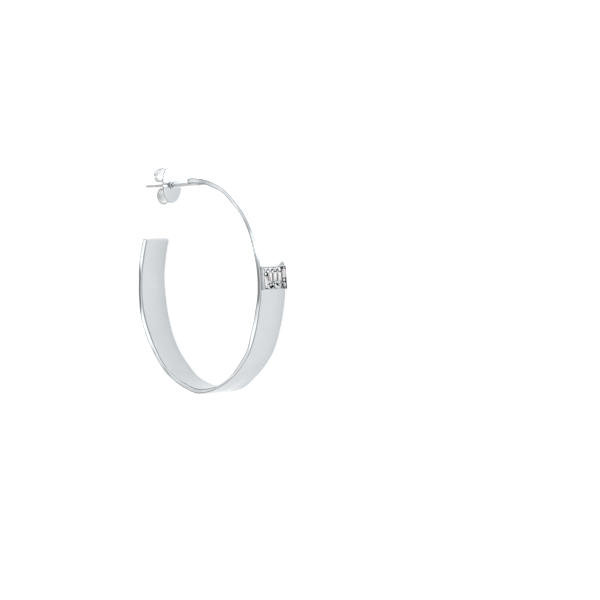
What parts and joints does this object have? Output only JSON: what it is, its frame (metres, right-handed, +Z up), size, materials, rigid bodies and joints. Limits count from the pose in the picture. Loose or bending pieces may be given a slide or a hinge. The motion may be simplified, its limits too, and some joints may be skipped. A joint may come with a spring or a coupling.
{
  "type": "hoop earring",
  "caption": "Wide hammered open-oval hoop with a straight post, a butterfly ear nut and a box setting of step-cut and round stones on its front.",
  "frame": {"origin": "on the surface the hoop lies on, under the middle of the earring's overall length and width", "axes": "+Z up, along the axis of the hoop lying on its side; +Y towards the end with the post; +X towards the front with the stones"},
  "size_m": [0.031, 0.0402, 0.0061],
  "materials": {
    "band_metal": "polished over light hammering",
    "nut_metal": "polished sheet",
    "baguette_stone": "clear, step cut",
    "round_stone": "clear, faceted round cut"
  },
  "bodies": {
    "hoop_body": {"hoop": "band_metal", "baguette_1": "baguette_stone", "baguette_2": "baguette_stone", "baguette_3": "baguette_stone", "baguette_4": "baguette_stone", "baguette_5": "baguette_stone", "round_1": "round_stone", "round_2": "round_stone", "round_3": "round_stone", "round_4": "round_stone", "round_5": "round_stone", "round_6": "round_stone", "round_7": "round_stone", "round_8": "round_stone"},
    "nut_body": {"ear_nut": "nut_metal"}
  },
  "joints": [
    {"name": "nut_slide", "type": "slide", "parent": "hoop_body", "child": "nut_body", "axis": [1, 0, 0], "range_m": [-0.0075, 0.0055]}
  ]
}
